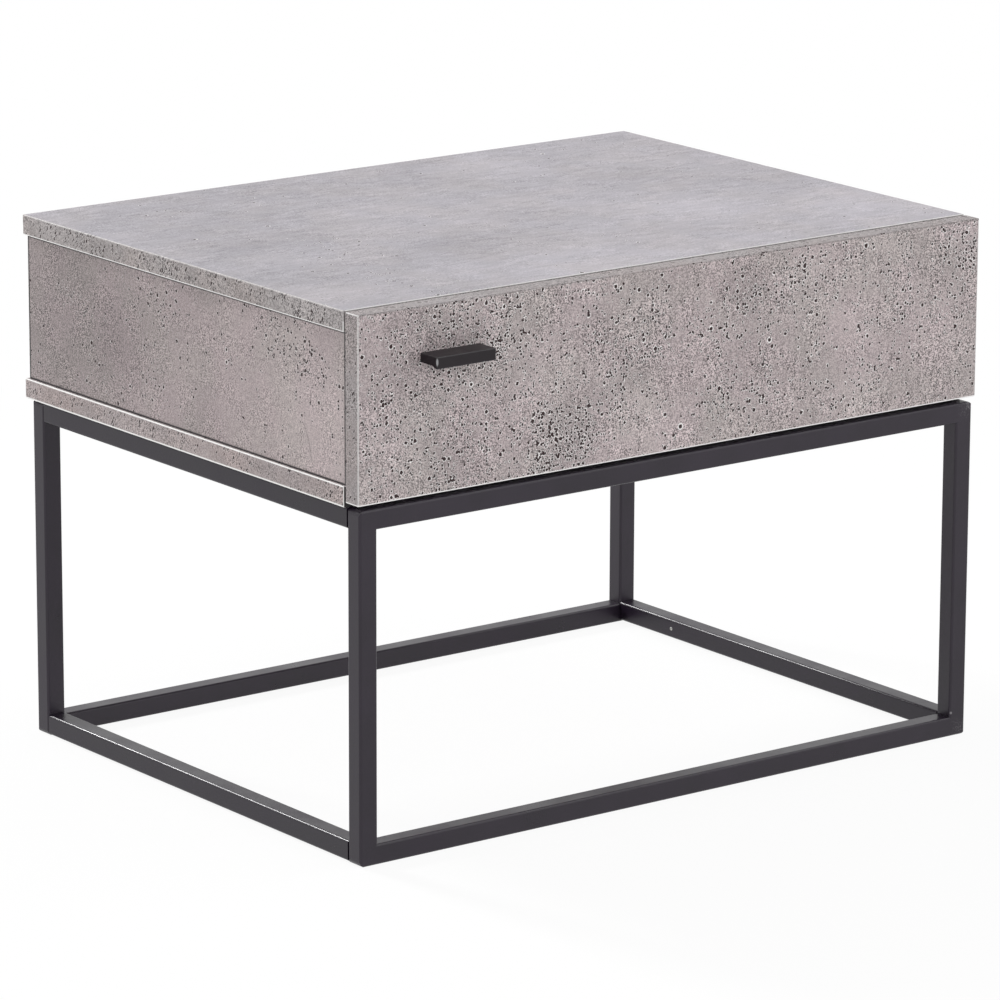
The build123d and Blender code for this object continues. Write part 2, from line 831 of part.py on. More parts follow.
def from_side_panel(side, near, far):
    """X limits between two distances from a side panel's inner face."""
    return ordered(side * (side_inner - near), side * (side_inner - far))


def fold(outward):
    """Round the long corners of the open part on its outward face, where the sheet is folded."""
    long_edges = edges().filter_by(Axis.Y)
    groups = long_edges.group_by(Axis.X)
    fillet(groups[-1] if outward > 0 else groups[0], runner_bend)


def channel(side):
    """The channel on a side panel: a web, a lower track, and a lip that keeps the rear wheel down."""
    length = (y_channel, y_channel_end)
    y_lip = y_front_wheel + wheel_radius + pin_collar_radius
    with BuildPart() as runner:
        web_height = (z_track - runner_steel, z_channel_lip + runner_steel)
        slab([from_side_panel(side, 0, runner_steel), length, web_height])
        track_height = (z_track - runner_steel, z_track)
        slab([from_side_panel(side, 0, channel_reach), length, track_height])
        lip_height = (z_channel_lip, z_channel_lip + runner_steel)
        slab([from_side_panel(side, 0, channel_lip_reach), (y_lip, y_channel_end), lip_height])
        fold(side)
        for place in channel_screw_places(side):
            drill(place, RIGHT * side, runner_screw_radius, runner_steel)
        drill(front_pin_start(side), -RIGHT * side, pin_radius, runner_steel)
    return runner.part


def l_section(side):
    """The L-section on a drawer side: a web, and a flange that rides on the front wheel."""
    length = (y_section, y_box_end)
    web = from_side_panel(side, runner_space - runner_steel, runner_space)
    flange = from_side_panel(side, runner_space - flange_reach, runner_space)
    with BuildPart() as runner:
        slab([web, length, (z_track, z_flange + runner_steel)])
        slab([flange, length, (z_flange, z_flange + runner_steel)])
        fold(-side)
        for place in section_screw_places(side):
            drill(place, -RIGHT * side, runner_screw_radius, runner_steel)
        drill(rear_pin_start(side), RIGHT * side, pin_radius, runner_steel)
    return runner.part


def front_pin_start(side):
    return Vector(side * side_inner, y_front_wheel, z_front_wheel)


def rear_pin_start(side):
    return Vector(side * box_outer, y_rear_wheel, z_rear_wheel)


def wheel(side, y, z):
    """A plastic wheel with a bore for its pin."""
    near = side * (side_inner - wheel_offset)
    with BuildPart() as roller:
        start = Vector(near, y, z)
        rod(start, -RIGHT * side, wheel_radius, wheel_width)
        fillet(edges(), edge_round)
        bore = pin_radius + wheel_bore_clearance
        rod(start, -RIGHT * side, bore, wheel_width, mode=Mode.SUBTRACT)
        far = start - RIGHT * (side * wheel_width)
        for face, inward in ((start, -RIGHT * side), (far, RIGHT * side)):
            with BuildSketch(Plane(origin=face, z_dir=inward)):
                Circle(wheel_radius - wheel_rim)
                Circle(bore + wheel_rim, mode=Mode.SUBTRACT)
            extrude(amount=wheel_groove, mode=Mode.SUBTRACT)
    return roller.part


def pin(start, direction, wheel_distance):
    """A riveted pin: a shank from the runner's back, a collar, and a head past the wheel."""
    collar = wheel_distance - runner_steel - wheel_play
    head_start = wheel_distance + wheel_width + wheel_play
    with BuildPart() as rivet:
        rod(start, direction, pin_radius, head_start)
        rod(start + direction * runner_steel, direction, pin_collar_radius, collar)
        rod(start + direction * head_start, direction, pin_head_radius, pin_head_height)
    return rivet.part


rear_wheel_distance = runner_space - wheel_offset - wheel_width
front_pins = [pin(front_pin_start(side), -RIGHT * side, wheel_offset) for side in SIDES]
rear_pins = [pin(rear_pin_start(side), RIGHT * side, rear_wheel_distance) for side in SIDES]
save_group(front_pins, "front_wheel_pins")
save_group(rear_pins, "rear_wheel_pins")

for side_name, side_sign in (("left", -1), ("right", 1)):
    save(channel(side_sign), f"body_runner_{side_name}")
    save(l_section(side_sign), f"drawer_runner_{side_name}")
    save(wheel(side_sign, y_front_wheel, z_front_wheel), f"front_wheel_{side_name}")
    save(wheel(side_sign, y_rear_wheel, z_rear_wheel), f"rear_wheel_{side_name}")


def runner_screws(places_of, facing):
    """Screws from a runner's web into the board behind it; facing is 1 on the body, -1 on the drawer."""
    return [
        screw(place, RIGHT * side * facing, runner_screw_radius, runner_steel + runner_screw_grip,
              runner_screw_head_radius, runner_screw_head_height)
        for side in SIDES
        for place in places_of(side)
    ]


save_group(runner_screws(channel_screw_places, 1), "body_runner_screws")
save_group(runner_screws(section_screw_places, -1), "drawer_runner_screws")
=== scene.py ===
import math

import bmesh
import bpy
from mathutils import Matrix, Vector


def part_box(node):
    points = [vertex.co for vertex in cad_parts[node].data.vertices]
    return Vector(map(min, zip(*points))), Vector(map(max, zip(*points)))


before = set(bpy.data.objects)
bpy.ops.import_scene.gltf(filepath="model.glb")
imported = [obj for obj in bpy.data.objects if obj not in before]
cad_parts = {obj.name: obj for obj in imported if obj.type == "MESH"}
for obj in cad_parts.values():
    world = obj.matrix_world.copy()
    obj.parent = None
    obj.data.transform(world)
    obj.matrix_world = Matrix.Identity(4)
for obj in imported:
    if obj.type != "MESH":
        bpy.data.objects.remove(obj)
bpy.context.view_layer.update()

# ---------------------------------------------------------------- welded steel frame
# Front and rear rectangles of 16 mm square tube, welded and ground flush at their corners, with four
# side rails between them. All of it is powder coated near black: satin, with a fine orange-peel skin.
frame_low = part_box("front_left_leg")[0]
frame_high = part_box("rear_right_leg")[1]
tube_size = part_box("front_left_leg")[1].x - frame_low.x
powder_over_welds = (0.015, 0.0095, 0.0188, 1.0)
powder_on_side_rails = (0.0095, 0.005, 0.013, 1.0)
weld_grey = (0.3, 0.285, 0.3, 1.0)
weld_drop = (0.2833, frame_low.y, 0.0195)


def put(tree, kind, settings, inputs):
    """One shader node. Each input is a value, or the output of another node, which is linked to it."""
    node = tree.nodes.new("ShaderNode" + kind)
    for name, value in settings.items():
        setattr(node, name, value)
    for name, value in inputs.items():
        if isinstance(value, bpy.types.NodeSocket):
            tree.links.new(value, node.inputs[name])
        else:
            node.inputs[name].default_value = value
    return node.outputs


def calc(tree, operation, *values):
    return put(tree, "Math", {"operation": operation}, dict(enumerate(values)))[0]


def times(tree, first, second):
    return calc(tree, "MULTIPLY", first, second)


def plus(tree, first, second):
    return calc(tree, "ADD", first, second)


def soft_step(tree, value, low, high, start=0.0, end=1.0):
    """start where value is at low, end where it is at high, with soft ends."""
    reach = {"Value": value, "From Min": low, "From Max": high, "To Min": start, "To Max": end}
    return put(tree, "MapRange", {"interpolation_type": "SMOOTHSTEP"}, reach)[0]


def spread(tree, pattern, start=0.0, end=1.0):
    """start where a noise is low, end where it is high: nearly all of a noise is between 0.3 and 0.7."""
    return soft_step(tree, pattern, 0.3, 0.7, start, end)


def tint(tree, share, first, second, kind="MIX"):
    """A mix of two colours, through the colour sockets of the Mix node."""
    settings = {"data_type": "RGBA", "blend_type": kind}
    return put(tree, "Mix", settings, {0: share, 6: first, 7: second})[2]


def noise(tree, place, scale, detail=2.0, roughness=0.5):
    """Noise of so many waves to the metre. Detail adds finer ones, and roughness is how strong those are."""
    look = {"Vector": place, "Scale": scale, "Detail": detail, "Roughness": roughness}
    return put(tree, "TexNoise", {}, look)


def cloud(tree, place, scale, detail=2.0, roughness=0.5):
    """The same noise as one value, which is 0.5 on average."""
    return noise(tree, place, scale, detail, roughness)[0]


def new_effect(name, inputs, outputs):
    """An empty node group with its sockets, and its two end nodes."""
    effect = bpy.data.node_groups.new(name, "ShaderNodeTree")
    for label, kind, value in inputs:
        socket = effect.interface.new_socket(label, in_out="INPUT", socket_type="NodeSocket" + kind)
        if value is not None:
            socket.default_value = value
    for label, kind in outputs:
        effect.interface.new_socket(label, in_out="OUTPUT", socket_type="NodeSocket" + kind)
    return effect, effect.nodes.new("NodeGroupInput").outputs, effect.nodes.new("NodeGroupOutput").inputs


def feed(tree, sockets, values):
    """Links each value to the socket of its name."""
    for name, value in values.items():
        tree.links.new(value, sockets[name])


def make_powder_skin():
    """Sprayed and baked powder: soft dimples, faint clouds in the colour and a slightly uneven gloss."""
    skin, given, out = new_effect(
        "powder skin",
        [
            ("Place", "Vector", None),
            ("Colour", "Color", None),
            ("Dimples", "Float", 650.0),
            ("Gloss", "Float", 0.4),
        ],
        [("Colour", "Color"), ("Roughness", "Float"), ("Height", "Float")],
    )
    dimples = cloud(skin, given["Place"], given["Dimples"], 2.0, 0.55)
    clouds = cloud(skin, given["Place"], 22.0, 3.0, 0.6)
    specks = cloud(skin, given["Place"], 1900.0, 1.0)
    shade = plus(skin, spread(skin, clouds, 0.86, 1.1), soft_step(skin, specks, 0.62, 0.8, 0.0, 0.5))
    gloss = plus(skin, given["Gloss"], spread(skin, clouds, -0.05, 0.06))
    feed(skin, out, {
        "Colour": tint(skin, 1.0, given["Colour"], shade, "MULTIPLY"),
        "Roughness": plus(skin, gloss, times(skin, dimples, 0.06)),
        "Height": dimples,
    })
    return skin


powder_skin = make_powder_skin()


def vector(tree, operation, *values):
    """Vector maths, whose result is a vector unless the operation measures something."""
    results = put(tree, "VectorMath", {"operation": operation}, dict(enumerate(values)))
    return results["Value" if operation in ("DISTANCE", "LENGTH", "DOT_PRODUCT") else "Vector"]


def split(tree, place):
    return put(tree, "SeparateXYZ", {}, {0: place})


def make_ground_weld():
    """Where the grinder went over a welded corner: a rough patch under the powder, pale specks of spatter
    towards the right, most of them at the upper corners, and one bright drop near the front right foot."""
    weld, given, out = new_effect(
        "ground weld", [("Place", "Vector", None)], [("Patch", "Float"), ("Height", "Float")]
    )
    axes = split(weld, given["Place"])
    half_height = (frame_high.z + frame_low.z) / 2
    across = calc(weld, "SUBTRACT", frame_high.x, calc(weld, "ABSOLUTE", axes["X"]))
    from_middle = calc(weld, "ABSOLUTE", calc(weld, "SUBTRACT", axes["Z"], half_height))
    along = calc(weld, "SUBTRACT", half_height, from_middle)
    corner = calc(weld, "MAXIMUM", across, along)
    grit = cloud(weld, given["Place"], 420.0, 3.0, 0.7)
    spatter = cloud(weld, given["Place"], 1100.0, 2.0, 0.6)
    grit_reach = 0.01
    ragged_corner = plus(weld, corner, times(weld, grit, grit_reach))
    near = soft_step(weld, ragged_corner, tube_size * 0.5, tube_size * 1.4, 1.0, 0.0)
    tight = soft_step(weld, corner, tube_size * 0.2, tube_size * 0.5, 1.0, 0.0)
    tight = times(weld, tight, soft_step(weld, axes["Z"], half_height, frame_high.z))
    loose_specks = times(weld, near, soft_step(weld, spatter, 0.5, 0.66, 0.0, 0.45))
    tight_specks = times(weld, tight, soft_step(weld, spatter, 0.48, 0.56))
    specks = calc(weld, "MAXIMUM", loose_specks, tight_specks)
    specks = times(weld, specks, soft_step(weld, axes["X"], 0.0, frame_high.x))
    from_drop = vector(weld, "DISTANCE", given["Place"], weld_drop)
    drop = soft_step(weld, from_drop, 0.0006, 0.0014, 1.0, 0.0)
    feed(weld, out, {
        "Patch": calc(weld, "MAXIMUM", specks, drop),
        "Height": times(weld, near, plus(weld, grit, spatter)),
    })
    return weld


ground_weld = make_ground_weld()


def use(tree, effect, inputs):
    """Places a shared effect in a material, with that material's own values."""
    return put(tree, "Group", {"node_tree": effect}, inputs)


def new_finish(name, shader):
    """A material with its shader's fixed values, and the place on the piece that its patterns read."""
    material = bpy.data.materials.new(name)
    material.use_nodes = True
    surface = material.node_tree.nodes["Principled BSDF"].inputs
    for label, value in shader.items():
        surface[label].default_value = value
    place = put(material.node_tree, "TexCoord", {}, {})["Object"]
    return material, material.node_tree, surface, place


def relief(tree, surface, height, depth):
    """Turns height, from 0 to 1 over depth in metres, into the surface's small bumps."""
    bump = put(tree, "Bump", {}, {"Height": height, "Distance": depth})[0]
    tree.links.new(bump, surface["Normal"])


def make_frame_coat(name, powder, shine, welded):
    """Powder over steel. Shine is how strongly it reflects, and a welded piece shows its ground corners."""
    coat, tree, surface, place = new_finish(name, {"Specular IOR Level": shine})
    skin = use(tree, powder_skin, {"Place": place, "Colour": powder, "Dimples": 620.0, "Gloss": 0.3})
    colour, height = skin["Colour"], skin["Height"]
    if welded:
        marks = use(tree, ground_weld, {"Place": place})
        colour = tint(tree, times(tree, marks["Patch"], 0.7), colour, weld_grey)
        height = plus(tree, height, times(tree, marks["Height"], 1.6))
    feed(tree, surface, {"Base Color": colour, "Roughness": skin["Roughness"]})
    relief(tree, surface, height, 0.00005)
    return coat


def lay_on(material, *names):
    """Gives a finish to the pieces named, in place of the plain one that they come with."""
    for name in names:
        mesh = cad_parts[name].data
        if mesh.materials:
            mesh.materials[0] = material
        else:
            mesh.materials.append(material)


lay_on(
    make_frame_coat("powder coat over welds", powder_over_welds, shine=0.42, welded=True),
    "front_left_leg", "front_right_leg", "front_top_rail", "front_bottom_rail",
    "rear_left_leg", "rear_right_leg", "rear_top_rail", "rear_bottom_rail",
)
lay_on(
    make_frame_coat("powder coat on side rails", powder_on_side_rails, shine=0.4, welded=False),
    "left_top_side_rail", "left_bottom_side_rail", "right_top_side_rail", "right_bottom_side_rail",
)

# ---------------------------------------------------------------- spigots, grub screws, frame bolts, inserts
# Turned and pressed steel parts, bright zinc plated. The side rails slide over the spigots and are held
# by the grub screws, and the bolts go up into the inserts in the bottom board.
zinc_pale = (0.64, 0.65, 0.66, 1.0)
zinc_stained = (0.5, 0.49, 0.46, 1.0)
zinc_speck = (0.36, 0.36, 0.37, 1.0)


def make_zinc_finish():
    zinc, tree, surface, place = new_finish("bright zinc plate", {"Metallic": 1.0})
    grain = cloud(tree, place, 900.0, 3.0, 0.6)
    stain = soft_step(tree, cloud(tree, place, 140.0), 0.35, 0.7)
    colour = tint(tree, stain, zinc_pale, zinc_stained)
    colour = tint(tree, soft_step(tree, grain, 0.55, 0.8, 0.0, 0.35), colour, zinc_speck)
    feed(tree, surface, {"Base Color": colour, "Roughness": spread(tree, grain, 0.24, 0.4)})
    relief(tree, surface, grain, 0.00003)
    return zinc


zinc_finish = make_zinc_finish()
lay_on(zinc_finish, "rail_spigots", "rail_grub_screws", "frame_bolts", "threaded_inserts")

# ---------------------------------------------------------------- bottom board
# 16 mm chipboard faced with a matt concrete print: warm grey clouds, faint brush marks, and pits in loose
# crowds, each with a pale rim, which is a painted glint. A thin strip of the same print is glued round its
# four edges.
pit_black = (0.017, 0.002, 0.003, 1.0)
rim_glint_white = (0.93, 0.91, 0.9, 1.0)
arris_highlight_white = (0.92, 0.91, 0.9, 1.0)
gap_shade_black = (0.02, 0.018, 0.019, 1.0)
seam_shade_black = (0.014, 0.012, 0.013, 1.0)
scratch_grey = (0.12, 0.105, 0.105, 1.0)
far_off = 9.0
brush_even = (1.0, 1.0, 1.0)
brush_lengthways = (0.2, 1.0, 1.0)


def ragged(tree, place, scale, detail, roughness, reach):
    """The place pushed about by a noise, so that a shape laid there gets ragged borders."""
    push = noise(tree, place, scale, detail, roughness)["Color"]
    return vector(tree, "MULTIPLY_ADD", push, reach, place)


def make_concrete_print():
    """The printed concrete. Crowd adds pits where it is high, Single is below 1 inside a placed pit, and
    Across and Up are the two directions along the board's face, on which the pits are laid out flat."""
    stone, given, out = new_effect(
        "concrete print",
        [
            ("Place", "Vector", None),
            ("Ground", "Color", None),
            ("Warmth", "Color", None),
            ("Brush", "Vector", None),
            ("Across", "Vector", (1.0, 1.0, 0.0)),
            ("Up", "Vector", (0.0, 1.0, 1.0)),
            ("Clouds", "Float", 1.0),
            ("Tone", "Float", 0.0),
            ("Grain", "Float", 1.0),
            ("Strokes", "Float", 1.0),
            ("Pits", "Float", 0.3),
            ("Crowd", "Float", 0.0),
            ("Single", "Float", far_off),
            ("Rim Glint", "Float", 1.0),
        ],
        [("Colour", "Color"), ("Roughness", "Float"), ("Height", "Float")],
    )
    place = given["Place"]

    # Clouds of two sizes, brush strokes and grain, as shares by which the ground gets lighter or darker.
    big = cloud(stone, place, 13.0, 3.0, 0.55)
    middle = cloud(stone, place, 48.0, 3.0, 0.6)
    brush = cloud(stone, vector(stone, "MULTIPLY", place, given["Brush"]), 260.0, 3.0, 0.6)
    grain = cloud(stone, place, 840.0, 2.0, 0.6)
    swing = plus(stone, spread(stone, big, -0.13, 0.11), spread(stone, middle, -0.07, 0.07))
    swing = plus(stone, times(stone, swing, given["Clouds"]), given["Tone"])
    strokes = times(stone, spread(stone, brush, -0.1, 0.1), given["Strokes"])
    fine = plus(stone, soft_step(stone, grain, 0.36, 0.64, -0.4, 0.4), strokes)
    rough_spots = soft_step(stone, cloud(stone, place, 40.0, 3.0, 0.6), 0.36, 0.64, 0.55, 1.4)
    fine = times(stone, times(stone, fine, rough_spots), given["Grain"])
    hue = soft_step(stone, cloud(stone, place, 21.0), 0.35, 0.7)
    ground = tint(stone, hue, given["Ground"], given["Warmth"])
    ground = tint(stone, 1.0, ground, plus(stone, 1.0, plus(stone, swing, fine)), "MULTIPLY")

    # How crowded the pits are here, and the face laid out flat, with borders made a little ragged.
    loose = soft_step(stone, cloud(stone, place, 26.0), 0.38, 0.66, 0.3, 1.7)
    crowd = plus(stone, times(stone, given["Pits"], loose), given["Crowd"])
    across = vector(stone, "DOT_PRODUCT", place, given["Across"])
    up = vector(stone, "DOT_PRODUCT", place, given["Up"])
    flat = put(stone, "CombineXYZ", {}, {0: across, 1: up})[0]
    jagged = ragged(stone, flat, 800.0, 1.0, 0.5, (0.0016, 0.0022, 0.0))
    depth = soft_step(stone, given["Single"], 0.85, 1.1, 1.0, 0.0)
    rim = soft_step(stone, given["Single"], 1.15, 1.9, 1.0, 0.0)

    # Pits sit one to a cell: so many cells to the metre, how many of them get a pit, and its width in cells.
    # A pit is dark out to its own radius, and its pale rim, a painted glint, starts there and fades out past
    # it.
    small_pits = {"cells": 390.0, "share": 1.0, "width": 0.37}
    middling_pits = {"cells": 230.0, "share": 0.5, "width": 0.27}
    large_pits = {"cells": 130.0, "share": 0.12, "width": 0.18}
    for pits in (small_pits, middling_pits, large_pits):
        layout = {"Vector": jagged, "Scale": pits["cells"]}
        cells = put(stone, "TexVoronoi", {"voronoi_dimensions": "2D"}, layout)
        chance = put(stone, "SeparateColor", {}, {0: cells["Color"]})
        here = calc(stone, "LESS_THAN", chance[0], times(stone, crowd, pits["share"]))
        rare = times(stone, chance[1], chance[1])
        radius = calc(stone, "MULTIPLY_ADD", rare, pits["width"] * 0.9, pits["width"] * 0.45)
        far = calc(stone, "DIVIDE", cells["Distance"], radius)
        pit = times(stone, here, soft_step(stone, far, 0.92, 1.1, 1.0, 0.0))
        ring = times(stone, here, soft_step(stone, far, 1.15, 1.6, 1.0, 0.0))
        depth = calc(stone, "MAXIMUM", depth, pit)
        rim = calc(stone, "MAXIMUM", rim, ring)
    rim = times(stone, rim, calc(stone, "SUBTRACT", 1.0, depth))
    rim = times(stone, rim, times(stone, given["Rim Glint"], 0.95))
    # The pale rims are a painted glint round each pit.
    colour = tint(stone, rim, ground, rim_glint_white)
    colour = tint(stone, times(stone, depth, 0.98), colour, pit_black)
    height = calc(stone, "SUBTRACT", 0.7, times(stone, depth, 0.5))
    feed(stone, out, {
        "Colour": colour,
        "Roughness": plus(stone, spread(stone, middle, 0.5, 0.6), times(stone, depth, 0.15)),
        "Height": plus(stone, height, times(stone, grain, 0.3)),
    })
    return stone


concrete_print = make_concrete_print()


def spots(tree, place, listed, join):
    """Soft ragged spots, each (x, y, z, radius, share): the shares are added up, or the largest is taken."""
    reach = 0.05
    pushed = ragged(tree, place, 38.0, 2.0, 0.6, (reach, reach, reach))
    pushed = vector(tree, "SUBTRACT", pushed, (reach / 2, reach / 2, reach / 2))
    total = 0.0
    for x, y, z, radius, share in listed:
        far = vector(tree, "DISTANCE", pushed, (x, y, z))
        total = calc(tree, join, total, soft_step(tree, far, radius * 0.2, radius, share, 0.0))
    return total


def single_pits(tree, place, listed):
    """How far off the nearest of some placed pits is, in its own radii: each pit is (x, y, z, radius)."""
    reach = 0.0012
    jagged = ragged(tree, place, 700.0, 1.0, 0.5, (reach, reach, reach))
    nearest = far_off
    for x, y, z, radius in listed:
        far = vector(tree, "DISTANCE", jagged, (x + reach / 2, y + reach / 2, z + reach / 2))
        nearest = calc(tree, "MINIMUM", nearest, calc(tree, "DIVIDE", far, radius))
    return nearest


def curved_scratch(tree, place, centre, radius, top, foot):
    """A hair scratch on a side panel: part of a circle in front of its centre, between two heights."""
    hair = 0.0008
    fade = 0.006
    bent = calc(tree, "SUBTRACT", vector(tree, "DISTANCE", place, centre), radius)
    line = soft_step(tree, calc(tree, "ABSOLUTE", bent), hair / 4, hair, 0.5, 0.0)
    axes = split(tree, place)
    line = times(tree, line, calc(tree, "LESS_THAN", axes["Y"], centre[1]))
    line = times(tree, line, soft_step(tree, axes["Z"], top - fade, top, 1.0, 0.0))
    return times(tree, line, soft_step(tree, axes["Z"], foot, foot + fade))


def make_edge_line():
    """Line along the arrises, for painted highlights and painted shade: 1 on the arris, 0 inside."""
    line, given, out = new_effect(
        "arris line for painted highlight and shade",
        [
            ("Place", "Vector", None),
            ("Low", "Vector", None),
            ("High", "Vector", None),
            ("Width", "Float", 0.001),
        ],
        [("Line", "Float")],
    )
    from_low = vector(line, "SUBTRACT", given["Place"], given["Low"])
    from_high = vector(line, "SUBTRACT", given["High"], given["Place"])
    x, y, z = split(line, vector(line, "MINIMUM", from_low, from_high))
    smaller = calc(line, "MINIMUM", x, y)
    larger = calc(line, "MAXIMUM", x, y)
    second = calc(line, "MAXIMUM", smaller, calc(line, "MINIMUM", larger, z))
    wander = times(line, cloud(line, given["Place"], 120.0, 2.0, 0.6), 0.0003)
    core = times(line, given["Width"], 0.4)
    from_arris = plus(line, second, wander)
    feed(line, out, {"Line": soft_step(line, from_arris, core, given["Width"], 1.0, 0.0)})
    return line


edge_line = make_edge_line()


def arris(tree, place, name, width):
    """The line along the arrises of the box round one piece, for painted highlights and shade."""
    low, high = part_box(name)
    size = {"Place": place, "Low": tuple(low), "High": tuple(high), "Width": width}
    return use(tree, edge_line, size)["Line"]


def make_faced_board(name, shift, look, crowds=(), tones=(), singles=(), shade_seam=None, scratch=None):
    """A board's own cut of the print. Shift moves the pattern. Where a piece is given for it, the board gets
    a dark line of painted contact shade round that piece's rim.
    """
    board, tree, surface, place = new_finish(name, {})
    moved = put(tree, "Mapping", {}, {"Vector": place, "Location": shift})[0]
    stone = {"Place": moved, **look}
    if crowds:
        stone["Crowd"] = spots(tree, place, crowds, "MAXIMUM")
    if tones:
        stone["Tone"] = spots(tree, place, tones, "ADD")
    if singles:
        stone["Single"] = single_pits(tree, place, singles)
    face = use(tree, concrete_print, stone)
    colour = face["Colour"]
    if scratch:
        colour = tint(tree, curved_scratch(tree, place, **scratch), colour, scratch_grey)
    # A dark line of painted contact shade round the rim, where the board meets its neighbours.
    if shade_seam:
        colour = tint(tree, arris(tree, place, shade_seam, width=0.0024), colour, seam_shade_black)
    feed(tree, surface, {"Base Color": colour, "Roughness": face["Roughness"]})
    relief(tree, surface, face["Height"], 0.00025)
    return board


def board_shares(tree, x, z, low, high, left_top, top, foot):
    """How much painted highlight each arris shows: the upper one at the left and elsewhere, and the lower
    one.
    """
    near = 0.001
    clear = 0.002
    upper = soft_step(tree, x, low.x + near, low.x + clear, left_top, top)
    above = calc(tree, "GREATER_THAN", z, (low.z + high.z) / 2)
    return calc(tree, "MULTIPLY_ADD", above, calc(tree, "SUBTRACT", upper, foot), foot)


def overlay_shares(tree, x, y, z, low, high):
    """The same for an overlay, whose painted highlight is strongest along the foot, and left off the top and
    the rear.
    """
    near = 0.0008
    clear = 0.0016
    top_near = 0.0012
    top_clear = 0.0022
    at_foot = soft_step(tree, z, low.z + near, low.z + clear, 1.0, 0.5)
    at_left = soft_step(tree, x, low.x + near, low.x + clear, 0.6, 0.0)
    at_front = soft_step(tree, y, high.y - clear, high.y - near, 1.0, 0.0)
    below_top = soft_step(tree, z, high.z - top_clear, high.z - top_near, 1.0, 0.0)
    corner = times(tree, at_left, calc(tree, "SUBTRACT", 1.0, below_top))
    return times(tree, calc(tree, "MAXIMUM", times(tree, at_foot, below_top), corner), at_front)


def make_edging(name, strips, shift, ground, pits, shares=None, gap_shade=0.0, foot=0.0):
    """Strips with the same print and painted highlights along their pale arrises. Shares are a board's: an
    overlay's strips have none.
    One value sets how dark the painted shade on the front ends is, deep in the gap, and foot is the height of
    a wider painted highlight at the foot."""
    edging, tree, surface, place = new_finish(name, {})
    moved = put(tree, "Mapping", {}, {"Vector": place, "Location": shift})[0]
    warmth = tuple(value * share for value, share in zip(ground, (1.03, 0.99, 0.97, 1.0)))
    look = {"Ground": ground, "Warmth": warmth, "Brush": brush_even, "Clouds": 0.8, "Grain": 1.1}
    face = use(tree, concrete_print, {"Place": moved, **look, "Pits": pits, "Rim Glint": 0.4})
    low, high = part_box(strips)
    x, y, z = split(tree, place)
    if shares:
        shown = board_shares(tree, x, z, low, high, **shares)
    else:
        shown = overlay_shares(tree, x, y, z, low, high)
    # Painted highlight lines along the arrises, and a wider one along the foot where a foot height is given.
    line = times(tree, arris(tree, place, strips, width=0.0014), shown)
    if foot:
        line = calc(tree, "MAXIMUM", line, soft_step(tree, z, low.z + foot * 0.5, low.z + foot, 1.0, 0.0))
    # Painted shade on the front ends, deep in the gap, with no highlight line there.
    end_reach = 0.0003
    end = soft_step(tree, y, low.y, low.y + end_reach, gap_shade, 0.0)
    line = times(tree, line, calc(tree, "SUBTRACT", 1.0, end))
    colour = tint(tree, end, tint(tree, line, face["Colour"], arris_highlight_white), gap_shade_black)
    feed(tree, surface, {"Base Color": colour, "Roughness": face["Roughness"]})
    relief(tree, surface, face["Height"], 0.0002)
    return edging


warm_ground = (0.4, 0.344, 0.348, 1.0)
warm_patch = (0.378, 0.338, 0.331, 1.0)
lying = {"Across": (1.0, 0.0, 0.0), "Up": (0.0, 1.0, 0.0)}
lay_on(
    make_faced_board(
        "concrete print, bottom board", (0.31, 0.72, 0.15),
        {
            "Ground": warm_ground, "Warmth": warm_patch, "Brush": brush_lengthways, **lying,
            "Clouds": 1.0, "Grain": 0.8, "Pits": 0.08,
        },
    ),
    "bottom_panel",
)
lay_on(
    make_edging(
        "edging, bottom board", "bottom_panel_edging", (0.13, 0.05, 0.41),
        ground=(0.348, 0.3, 0.298, 1.0), pits=0.2,
        shares={"left_top": 0.95, "top": 0.95, "foot": 1.0}, gap_shade=0.97, foot=0.0018,
    ),
    "bottom_panel_edging",
)

# ---------------------------------------------------------------- side panels and back panel
# Upright boards with the same facing, set in a little from the edges of the top and bottom boards. They
# are pulled tight by cams and bolts, and located by beech dowels. Their own edging is at the ends.

# Places on the left panel's outer face. Crowds of pits and tones are (x, y, z, radius, share), and single
# pits are (x, y, z, radius).
side_x = -0.2975
side_crowds = (
    (side_x, -0.11, 0.393, 0.035, 0.35),
    (side_x, -0.15, 0.372, 0.035, 0.35),
    (side_x, -0.045, 0.36, 0.012, 0.5),
    (side_x, 0.05, 0.385, 0.04, 0.22),
    (side_x, 0.175, 0.368, 0.022, 0.4),
    (side_x, 0.06, 0.323, 0.025, 0.3),
    (side_x, 0.14, 0.315, 0.03, 0.2),
)
side_singles = (
    (side_x, -0.0425, 0.3641, 0.0012),
    (side_x, -0.0427, 0.3546, 0.0013),
    (side_x, -0.0425, 0.3496, 0.0007),
    (side_x, -0.0949, 0.3845, 0.0012),
    (side_x, -0.147, 0.3736, 0.0011),
    (side_x, 0.1783, 0.3723, 0.0008),
    (side_x, 0.178, 0.3666, 0.0006),
)
